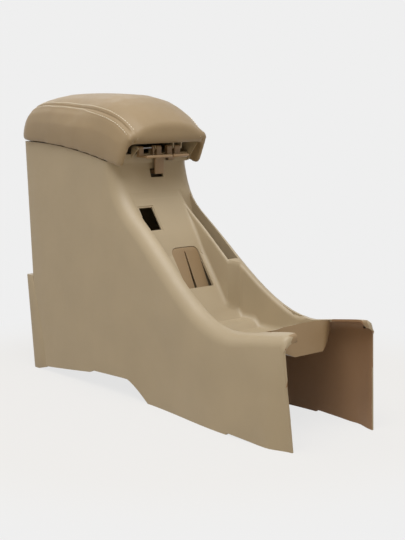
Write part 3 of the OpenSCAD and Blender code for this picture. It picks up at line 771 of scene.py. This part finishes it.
class ARMREST_OT_stitching(bpy.types.Operator):
    """Sews a row of stitches on each side of both seams"""
    bl_idname = "armrest.stitching"
    bl_label = "Stitching"

    def execute(self, context):
        pad = bpy.data.objects["armrest_cover"]
        tree = BVHTree.FromObject(pad, context.evaluated_depsgraph_get())
        bpy.ops.object.select_all(action="DESELECT")
        bpy.ops.mesh.primitive_uv_sphere_add(segments=8, ring_count=6, radius=0.5,
                                             rotation=(0, math.radians(90), 0))
        pattern = context.object
        bpy.ops.object.transform_apply(rotation=True)
        bpy.ops.object.mode_set(mode="EDIT")
        bpy.ops.mesh.select_all(action="SELECT")
        bpy.ops.transform.resize(value=(sizes().stitch_length, sizes().thread_width,
                                        sizes().thread_width))
        bpy.ops.object.mode_set(mode="OBJECT")
        work = bmesh.new()
        for side in (-1, 1):
            seam = seam_on(tree, side)
            for row in (-1, 1):
                self.sew(work, pattern.data, tree, seam, row)
        mesh = bpy.data.meshes.new("armrest_stitching")
        work.to_mesh(mesh)
        work.free()
        bpy.data.objects.remove(pattern)
        piece = bpy.data.objects.new("armrest_stitching", mesh)
        context.scene.collection.objects.link(piece)
        only(piece)
        bpy.ops.object.shade_smooth()
        dress(piece, "thread", "lid", "leather")
        return {"FINISHED"}

    def sew(self, work, pattern, tree, seam, row):
        """One row of stitches, laid along the seam at the row's offset, pressed into the cover."""
        offset = sizes().row_offset
        line = []
        for i, point in enumerate(seam):
            along = (seam[min(i + 1, len(seam) - 1)] - seam[max(i - 1, 0)]).normalized()
            _, normal, _, _ = tree.find_nearest(point)
            across = normal.cross(along).normalized()
            at, _, _, _ = tree.find_nearest(point + across * row * offset)
            line.append(at)
        line = laid(line)
        length = sum((q - p).length for p, q in zip(line, line[1:]))
        count = int(length / sizes().stitch_pitch)
        spots = smooth_path(line, count * 2)
        for i in range(1, 2 * count, 2):
            _, normal, _, _ = tree.find_nearest(spots[i])
            at = spots[i]
            along = (spots[i + 1] - spots[i - 1]).normalized()
            across = normal.cross(along).normalized()
            up = along.cross(across)
            turn = Matrix((along, across, up)).transposed().to_4x4()
            before = len(work.verts)
            work.from_mesh(pattern)
            work.verts.ensure_lookup_table()
            move = Matrix.Translation(at + up * sizes().thread_width * STITCH_LIFT) @ turn
            for v in work.verts[before:]:
                v.co = move @ v.co


# The camera, as fitted to the photo, in metres and millimetres of lens
CAMERA_AT, CAMERA_AIM = (1.2991, -1.0806, 0.4543), (0.050, 0.0, 0.1904)
CAMERA_LENS, CAMERA_SENSOR = 78.9, 36
# Each light: where it is, where it aims, its size in metres and its power in watts
KEY_LIGHT = ((0.55, -0.65, 2.2), (0.05, 0, 0.2), 1.8, 38)
REAR_LIGHT = ((-1.6, 0.6, 1.6), (-0.1, 0, 0.25), 1.2, 3)
FILL_POWER = 0.38
# The paper runs into the backdrop between these distances from the middle, in metres. Near
# the object the backdrop has this share of what the camera sees, and glows this much more.
PAPER_NEAR, PAPER_FAR = 0.36, 0.62
NEAR_SHARE, NEAR_GLOW = 0.8, 1.09
FLOOR_SIZE = 60


class ARMREST_OT_stage(bpy.types.Operator):
    """Sets the pale floor, the studio light and the camera"""
    bl_idname = "armrest.stage"
    bl_label = "Stage"

    def execute(self, context):
        scene = context.scene
        scene.view_settings.view_transform = "Standard"
        bpy.ops.object.select_all(action="DESELECT")
        bpy.ops.mesh.primitive_plane_add(size=FLOOR_SIZE, location=(0, 0, 0))
        floor = context.object
        floor.name = "studio_floor"
        floor.data.materials.append(self.floor_paint())
        self.sky()
        self.lamp("key_light", *KEY_LIGHT)
        self.lamp("rear_light", *REAR_LIGHT)
        camera = bpy.data.objects.new("photo_camera", bpy.data.cameras.new("photo_camera"))
        scene.collection.objects.link(camera)
        camera.location = CAMERA_AT
        away = Vector(CAMERA_AIM) - camera.location
        camera.rotation_euler = away.to_track_quat("-Z", "Y").to_euler()
        camera.data.lens = CAMERA_LENS
        camera.data.sensor_width = CAMERA_SENSOR
        camera.data.clip_start = 0.05
        scene.camera = camera
        return {"FINISHED"}

    def lamp(self, name, at, aim, size, power):
        light = bpy.data.lights.new(name, "AREA")
        light.shape = "SQUARE"
        light.size = size
        light.energy = power
        lamp = bpy.data.objects.new(name, light)
        bpy.context.scene.collection.objects.link(lamp)
        lamp.location = at
        lamp.rotation_euler = (Vector(aim) - Vector(at)).to_track_quat("-Z", "Y").to_euler()

    def seen(self, holder):
        """1 for rays from the camera, and for those that mirrors and glass pass on."""
        path = add(holder, "ShaderNodeLightPath")
        either = add(holder, "ShaderNodeMath", {
            0: path.outputs["Is Camera Ray"], 1: path.outputs["Is Glossy Ray"]},
            operation="MAXIMUM")
        return add(holder, "ShaderNodeMath", {
            0: either.outputs[0], 1: path.outputs["Is Transmission Ray"]},
            operation="MAXIMUM").outputs[0]

    def floor_paint(self):
        """Matt paper that keeps the shadow and runs into the plain backdrop further out."""
        material, out = blank("matt_paper_sweep")
        where = add(material, "ShaderNodeTexCoord").outputs["Object"]
        away = add(material, "ShaderNodeVectorMath", {0: where}, operation="LENGTH")
        far = add(material, "ShaderNodeMapRange", {
            "Value": away.outputs["Value"], "From Min": PAPER_NEAR, "From Max": PAPER_FAR,
            "To Min": NEAR_SHARE, "To Max": 1.0},
            interpolation_type="SMOOTHSTEP").outputs["Result"]
        glow = add(material, "ShaderNodeMapRange", {
            "Value": far, "From Min": NEAR_SHARE, "From Max": 1.0, "To Min": NEAR_GLOW,
            "To Max": 1.0}).outputs["Result"]
        share = add(material, "ShaderNodeMath", {0: far, 1: self.seen(material)},
                    operation="MULTIPLY").outputs[0]
        paper = add(material, "ShaderNodeBsdfDiffuse", {"Color": linear(colours().paper)})
        plain = add(material, "ShaderNodeEmission", {
            "Color": linear(colours().backdrop), "Strength": glow})
        mix = add(material, "ShaderNodeMixShader", {
            "Fac": share, 1: paper.outputs[0], 2: plain.outputs[0]})
        material.node_tree.links.new(mix.outputs[0], out.inputs["Surface"])
        return material

    def sky(self):
        """Soft white light all round, seen as the plain backdrop."""
        world = bpy.data.worlds.new("studio_sky")
        bpy.context.scene.world = world
        world.use_nodes = True
        world.node_tree.nodes.clear()
        out = add(world, "ShaderNodeOutputWorld")
        light = add(world, "ShaderNodeBackground", {
            "Color": linear(colours().fill), "Strength": FILL_POWER})
        plain = add(world, "ShaderNodeBackground", {
            "Color": linear(colours().backdrop), "Strength": 1.0})
        mix = add(world, "ShaderNodeMixShader", {
            "Fac": self.seen(world), 1: light.outputs[0], 2: plain.outputs[0]})
        world.node_tree.links.new(mix.outputs[0], out.inputs["Surface"])


class ARMREST_PT_panel(bpy.types.Panel):
    """Sidebar panel with the sizes, the colours and the steps"""
    bl_idname = "ARMREST_PT_panel"
    bl_label = "Centre armrest"
    bl_space_type = "VIEW_3D"
    bl_region_type = "UI"
    bl_category = "Armrest"

    def draw(self, context):
        for group in (context.scene.armrest_colours, context.scene.armrest_sizes):
            for key in group.__annotations__:
                self.layout.prop(group, key)
        for step in STEPS:
            self.layout.operator(step.bl_idname)


STEPS = (ARMREST_OT_stage, ARMREST_OT_body, ARMREST_OT_covers, ARMREST_OT_latches,
         ARMREST_OT_lid_frame, ARMREST_OT_hardware, ARMREST_OT_pad, ARMREST_OT_stitching)
CLASSES = (ArmrestColours, ArmrestSizes) + STEPS + (ARMREST_PT_panel,)


def register():
    for cls in CLASSES:
        bpy.utils.register_class(cls)
    bpy.types.Scene.armrest_colours = bpy.props.PointerProperty(type=ArmrestColours)
    bpy.types.Scene.armrest_sizes = bpy.props.PointerProperty(type=ArmrestSizes)


def unregister():
    del bpy.types.Scene.armrest_sizes
    del bpy.types.Scene.armrest_colours
    for cls in reversed(CLASSES):
        bpy.utils.unregister_class(cls)


def main():
    register()
    bpy.ops.armrest.stage()
    bpy.ops.armrest.body()
    bpy.ops.armrest.covers()
    bpy.ops.armrest.latches()
    bpy.ops.armrest.lid_frame()
    bpy.ops.armrest.hardware()
    bpy.ops.armrest.pad()
    bpy.ops.armrest.stitching()


if __name__ == "__main__":
    main()
